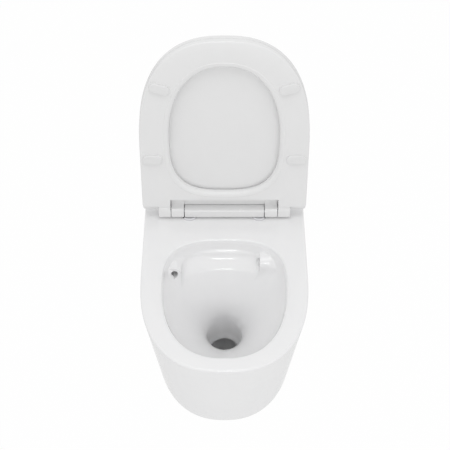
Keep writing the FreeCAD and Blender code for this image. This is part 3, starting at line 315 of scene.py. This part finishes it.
def to_segment(across, reach, depth, start, end):
    """Distance to a level segment between two (across, reach) places at the duct's depth.

    Below that depth the fall counts for 0.62 of itself, which draws the round section out downwards.
    """
    way = np.array(end, float) - np.array(start, float)
    share = ((across - start[0]) * way[0] + (reach - start[1]) * way[1]) / (way @ way)
    share = np.clip(share, 0, 1)
    fall = np.where(depth > DUCT_DEPTH, (depth - DUCT_DEPTH) * DUCT_FALL, depth - DUCT_DEPTH)
    return np.sqrt((across - start[0] - share * way[0]) ** 2 + (reach - start[1] - share * way[1]) ** 2
                   + fall ** 2)


def duct_field(across, reach, depth):
    """Distance outside the china round the flush ducts, the least of four, with two port faces cut flat."""
    left = to_segment(across, reach, depth, (-DUCT_ACROSS, LEFT_DUCT_FROM), (-DUCT_ACROSS, LEFT_DUCT_TO))
    left = np.maximum(left - DUCT_RADIUS, reach - LEFT_PORT_FACE)
    rear = to_segment(across, reach, depth, (-DUCT_ACROSS, REAR_DUCT_LEFT), (DUCT_ACROSS, REAR_DUCT_RIGHT))
    rear = rear - DUCT_RADIUS - REAR_DUCT_SWELL
    right = to_segment(across, reach, depth, (RIGHT_DUCT_FROM, RIGHT_DUCT_REACH),
                       (RIGHT_DUCT_TO, RIGHT_DUCT_REACH))
    right = np.maximum(right - DUCT_RADIUS - RIGHT_DUCT_SWELL, RIGHT_PORT_FACE - across)
    elbow = to_segment(across, reach, depth, (DUCT_ACROSS, ELBOW_FROM), (DUCT_ACROSS, ELBOW_TO)) - DUCT_RADIUS
    return np.minimum(np.minimum(left, rear), np.minimum(right, elbow))


def free_space(across, reach, depth, inset):
    """The larger of the bowl's field and the ducts' negative field, blended over a soft fillet.

    With d the difference of the two and b the blend, (b - |d|)^2 / 4b is added where |d| is less than b.
    """
    wall = bowl_field(across, reach, depth, inset, SHELF)
    duct = -duct_field(across, reach, depth)
    blend = FILLET * smooth(depth, *FILLET_GROWS) + FILLET_RIM
    return np.maximum(wall, duct) + np.maximum(blend - np.abs(wall - duct), 0) ** 2 / (4 * blend)


def plain_wall(across, reach, depth, inset):
    """The bowl's field without its ducts and shelf."""
    return bowl_field(across, reach, depth, inset, 0.0)


FINE_STEPS = 4000
RAY_START, RAY_END, RAY_STEPS, HALVINGS = 5.0, 260.0, 171, 22


def spaced(low, high, count, places, gain, width):
    """Values from low to high, 1 + gain * exp(-(distance / width)^2) times as dense about some places."""
    fine = np.linspace(low, high, FINE_STEPS)
    density = np.ones_like(fine)
    for place in places:
        density += gain * np.exp(-((fine - place) / width) ** 2)
    total = np.concatenate([[0], np.cumsum((density[1:] + density[:-1]) / 2)])
    return np.interp(np.linspace(0, total[-1], count), total, fine)


def bowl_rows(depths, turns, inset, field=free_space):
    """The first place where the field turns positive along each level ray from the throat's middle.

    Found by even steps out along the ray, then by halving the last one.
    """
    depth, turn = np.meshgrid(depths, turns, indexing="ij")
    east, north = np.cos(turn), np.sin(turn)

    def value(length):
        return field(length * east, THROAT_REACH + length * north, depth, inset)

    low, high = np.full(depth.shape, RAY_START), np.full(depth.shape, RAY_START)
    open_yet = np.ones(depth.shape, bool)
    for length in np.linspace(RAY_START, RAY_END, RAY_STEPS):
        shut = value(np.full(depth.shape, length)) >= 0
        high = np.where(open_yet & shut, length, high)
        low = np.where(open_yet & ~shut, length, low)
        open_yet &= ~shut
    for _ in range(HALVINGS):
        middle = (low + high) / 2
        shut = value(middle) >= 0
        high = np.where(shut, middle, high)
        low = np.where(shut, low, middle)
    return np.stack([low * east, THROAT_REACH + low * north, depth], -1)


GLAZE_INSET, RIM_INSET, GLAZE_BACK = 0.6, -0.5, -5.0    # in front of the pan's wall, and hidden in it
RIM_DEPTH = 6                                           # where the skin leaves the pan's own rim
TURNS, DEPTHS, BACK_DEPTHS = 521, 125, 40
FULL_TURN = 2 * math.pi
PORT_TURNS = (math.atan2(LEFT_PORT_REACH - THROAT_REACH, -DUCT_ACROSS) + FULL_TURN,
              math.atan2(RIGHT_PORT_REACH - THROAT_REACH, RIGHT_PORT_FACE) + FULL_TURN)

turns = spaced(0, FULL_TURN, TURNS, PORT_TURNS, 3.0, 0.2)[:-1]
depths = spaced(RIM_DEPTH, THROAT_FOOT, DEPTHS, (DUCT_DEPTH,), 1.5, 22)
inner = bowl_rows(depths, turns, GLAZE_INSET)
inner[0] = bowl_rows(depths[:1], turns, RIM_INSET)[0]
outer = bowl_rows(np.linspace(THROAT_FOOT, RIM_DEPTH, BACK_DEPTHS), turns, GLAZE_BACK, plain_wall)
skin, sides = ring_skin(np.concatenate([inner, outer]))
bowl = new_piece("bowl_glaze", to_deck(skin), outwards(to_deck(skin), sides), GLAZE, "base",
                 BOWL_SMOOTH_ANGLE)


ROD_SIDES = 48


def round_rod(start, end, radius):
    """A closed rod between two places: radius times (cos t, sin t) across its way."""
    start, end = np.array(start, float), np.array(end, float)
    way = (end - start) / np.linalg.norm(end - start)
    side = np.cross(way, (0, 0, 1.0)) if abs(way[2]) < 0.9 else np.array([1.0, 0, 0])
    up = np.cross(side, way)
    turn = np.linspace(0, FULL_TURN, ROD_SIDES + 1)[:-1, None]
    circle = radius * (np.cos(turn) * side + np.sin(turn) * up)
    return closed_rows([start + circle, end + circle], start, end)


def bored(piece, rods):
    """The piece with rods cut out of it."""
    cutters = []
    for vertices, faces in rods:
        mesh = bpy.data.meshes.new("cutter")
        mesh.from_pydata((vertices * MM).tolist(), [], outwards(vertices, faces))
        cutter = bpy.data.objects.new("cutter", mesh)
        bpy.context.scene.collection.objects.link(cutter)
        change = piece.modifiers.new("cut", "BOOLEAN")
        change.operation, change.solver, change.object = "DIFFERENCE", "EXACT", cutter
        cutters.append(cutter)
    bpy.context.view_layer.update()
    made = bpy.data.meshes.new_from_object(piece.evaluated_get(bpy.context.evaluated_depsgraph_get()))
    piece.modifiers.clear()
    made.materials.clear()
    made.materials.append(piece.data.materials[0])
    piece.data = made
    made.polygons.foreach_set("use_smooth", [True] * len(made.polygons))
    made.set_sharp_from_angle(angle=math.radians(BOWL_SMOOTH_ANGLE))
    for cutter in cutters:
        bpy.data.objects.remove(cutter, do_unlink=True)


# each port's bore, from in front of its face to where it ends in the duct
LEFT_BORE = ((-109, 148, DUCT_DEPTH), (-DUCT_ACROSS, 100, DUCT_DEPTH))
RIGHT_BORE = ((70, RIGHT_PORT_REACH, DUCT_DEPTH), (108, RIGHT_PORT_REACH, DUCT_DEPTH))
bored(bowl, [round_rod(to_deck(start), to_deck(end), PORT_RADIUS) for start, end in (LEFT_BORE, RIGHT_BORE)])


# ------------------------------------------------------------------ the ridge round the seat's opening

SEAT_LOW = -10.3                   # the closed seat's underside, from the hinge axis
RIDGE_SMOOTH_ANGLE = 60.0
OPENING_HALF, OPENING_FRONT, OPENING_REAR, OPENING_WIDEST = 117.0, 374.0, 58.0, 196.0
OPENING_FRONT_POWER, OPENING_REAR_POWER = 2.25, 3.0
OPENING_STEPS = 360


def opening_row(beyond, height):
    """The seat opening's outline |x / a|^p + |r / b|^p = 1, moved beyond its edge along its normal."""
    turn = np.linspace(0, FULL_TURN, OPENING_STEPS + 1)[:-1]
    radius = oval_radius(turn, OPENING_HALF, OPENING_FRONT - OPENING_WIDEST, OPENING_WIDEST - OPENING_REAR,
                         OPENING_FRONT_POWER, OPENING_REAR_POWER)
    line = np.stack([radius * np.cos(turn), radius * np.sin(turn)], -1)
    along = np.roll(line, -1, 0) - np.roll(line, 1, 0)
    normal = np.stack([along[:, 1], -along[:, 0]], -1) / np.linalg.norm(along, axis=1)[:, None]
    line = line + normal * beyond
    return np.stack([line[:, 0], OPENING_WIDEST + line[:, 1], np.full(len(line), SEAT_LOW + height)], -1)


# the bead's section, round a loop: how far beyond the opening's edge, and how high above the underside
RIDGE = ((12.6, 0.5), (12.2, -0.15), (11.4, -0.55), (10.4, -0.6), (9.4, -0.3), (7.0, -0.1), (4.6, 0.35),
         (2.6, 1.5), (1.1, 3.3), (0.2, 5.6), (1.2, 6.2), (4.0, 3.0), (8.0, 1.6))
ridge, ridge_sides = ring_skin([opening_row(*place) for place in RIDGE])
new_piece("seat_opening_ridge", to_raised(ridge), outwards(to_raised(ridge), ridge_sides), SEAT_PLASTIC,
          "seat", RIDGE_SMOOTH_ANGLE)


for node in nodes:
    smooth_copy(node)


# ------------------------------------------------------------------ camera and light

def light_area(name, place, target, width, height, power):
    """A soft box at a place, turned to a target, in metres and watts."""
    data = bpy.data.lights.new(name, "AREA")
    data.shape = "RECTANGLE"
    data.size, data.size_y, data.energy = width, height, power
    lamp = bpy.data.objects.new(name, data)
    lamp.location = place
    away = np.array(target, float) - np.array(place, float)
    lamp.rotation_euler = (math.atan2(math.hypot(away[0], away[1]), -away[2]), 0.0,
                           math.atan2(away[0], -away[1]) + math.pi)
    bpy.context.scene.collection.objects.link(lamp)


CAMERA_PLACE, CAMERA_TILT = (0.0, -1.9271, 1.9098), math.radians(44.93)    # metres
CAMERA_LENS, CAMERA_SENSOR, CAMERA_SHIFT = 93.19, 36.0, 0.00144

camera_data = bpy.data.cameras.new("camera")
camera_data.sensor_width = CAMERA_SENSOR
camera_data.lens = CAMERA_LENS
camera_data.shift_x = CAMERA_SHIFT
camera_data.clip_start, camera_data.clip_end = 0.05, 50.0
camera = bpy.data.objects.new("camera", camera_data)
camera.location = CAMERA_PLACE
camera.rotation_euler = (CAMERA_TILT, 0.0, 0.0)
bpy.context.scene.collection.objects.link(camera)
bpy.context.scene.camera = camera

AMBIENT = 0.75                     # of the plain white surroundings that light the object
world = bpy.data.worlds.new("studio")
world.use_nodes = True
studio = world.node_tree
studio.nodes.clear()
path = add(studio, "ShaderNodeLightPath")
through = add(studio, "ShaderNodeMath", {"operation": "MAXIMUM"}, i0=(path, "Is Glossy Ray"),
              i1=(path, "Is Transmission Ray"))
seen = add(studio, "ShaderNodeMath", {"operation": "MAXIMUM"}, i0=(path, "Is Camera Ray"),
           i1=(through, "Value"))
plain = add(studio, "ShaderNodeBackground", Color=linear("#FFFFFF"), Strength=AMBIENT)
white = add(studio, "ShaderNodeBackground", Color=linear("#FFFFFF"), Strength=1.0)
mixed = add(studio, "ShaderNodeMixShader", i0=(seen, "Value"), i1=(plain, "Background"),
            i2=(white, "Background"))
add(studio, "ShaderNodeOutputWorld", Surface=(mixed, "Shader"))
bpy.context.scene.world = world

light_area("key", (-0.1, -0.55, 2.1), (0, -0.25, 0), 1.2, 0.9, 6.6)
light_area("front", (0.6, -2.2, 0.3), (0, -0.3, -0.1), 1.4, 1.2, 2.4)
light_area("window", (0.0, -2.3, 1.05), (0, -0.2, 0.05), 0.42, 0.2, 2.5)

FLOOR_HALF, FLOOR_Z, FLOOR_SHINE = 6, -1.2, 0.97    # metres, and how much of the floor is plain white
corners = [(x * FLOOR_HALF, y * FLOOR_HALF, FLOOR_Z) for x, y in ((-1, -1), (1, -1), (1, 1), (-1, 1))]
floor_mesh = bpy.data.meshes.new("floor")
floor_mesh.from_pydata(corners, [], [(0, 1, 2, 3)])
FLOOR = finish("pale_floor", "#FFFFFF", "#FDFDFD", 0.8, 0.02, 300, 5, 0.01)
glow = FLOOR.node_tree
lit = next(node for node in glow.nodes if node.type == "BSDF_PRINCIPLED")
out = next(node for node in glow.nodes if node.type == "OUTPUT_MATERIAL")
ground_path = add(glow, "ShaderNodeLightPath")
share = add(glow, "ShaderNodeMath", {"operation": "MULTIPLY"}, i0=(ground_path, "Is Camera Ray"),
            i1=FLOOR_SHINE)
shine = add(glow, "ShaderNodeEmission", Color=linear("#FFFFFF"), Strength=1.0)
blended = add(glow, "ShaderNodeMixShader", i0=(share, "Value"), i1=(lit, "BSDF"), i2=(shine, "Emission"))
glow.links.new(blended.outputs[0], out.inputs["Surface"])
floor_mesh.materials.append(FLOOR)
floor = bpy.data.objects.new("floor", floor_mesh)
bpy.context.scene.collection.objects.link(floor)

bpy.context.scene.view_settings.view_transform = "Standard"
